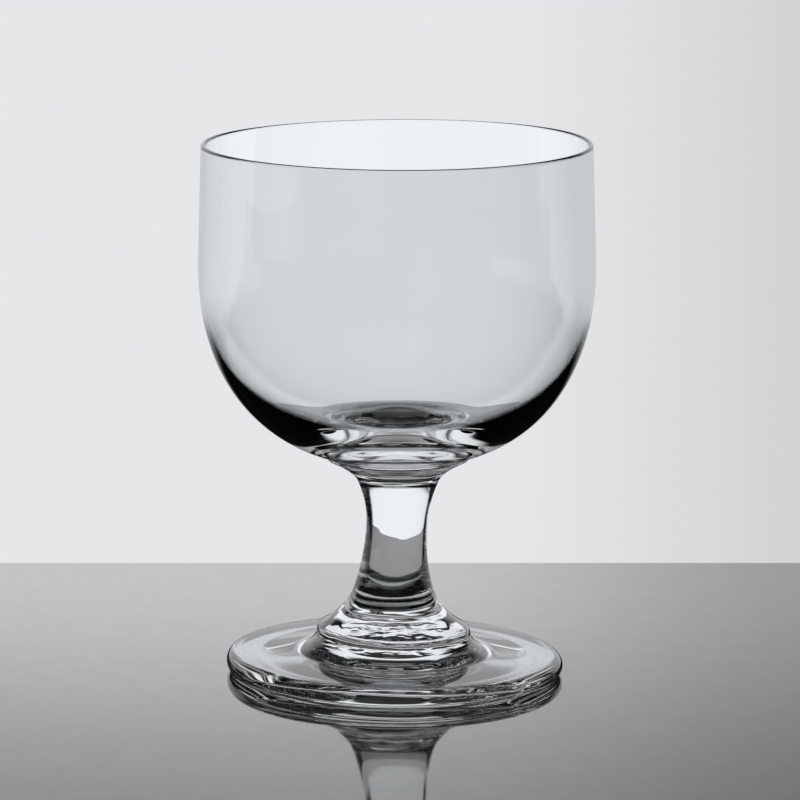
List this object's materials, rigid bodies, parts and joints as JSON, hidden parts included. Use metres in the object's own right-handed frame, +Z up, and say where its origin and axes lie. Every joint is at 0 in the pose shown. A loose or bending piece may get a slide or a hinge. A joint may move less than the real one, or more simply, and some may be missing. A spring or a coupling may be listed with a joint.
{
  "type": "rummer glass",
  "caption": "Footed drinking glass with a wide round-based bowl on a collar, a short waisted solid stem, a domed boss and a thick round foot, in clear hand-blown glass.",
  "frame": {"origin": "centre of the flat ring that the foot stands on, on the axis of the glass", "axes": "+Z up along the axis of the glass, from the foot to the rim; X and Y are any two horizontal directions, because the glass is round"},
  "size_m": [0.096, 0.096, 0.13],
  "materials": {
    "bowl_glass": "fire-polished clear glass, faintly grey",
    "collar_glass": "fire-polished clear glass with tooling rings",
    "stem_glass": "fire-polished clear glass with faint striations",
    "boss_glass": "fire-polished clear glass with tooling rings",
    "foot_glass": "fire-polished clear glass with a worn standing ring"
  },
  "bodies": {
    "root": {"bowl": "bowl_glass", "collar": "collar_glass", "stem": "stem_glass", "boss": "boss_glass", "foot": "foot_glass"}
  },
  "joints": []
}
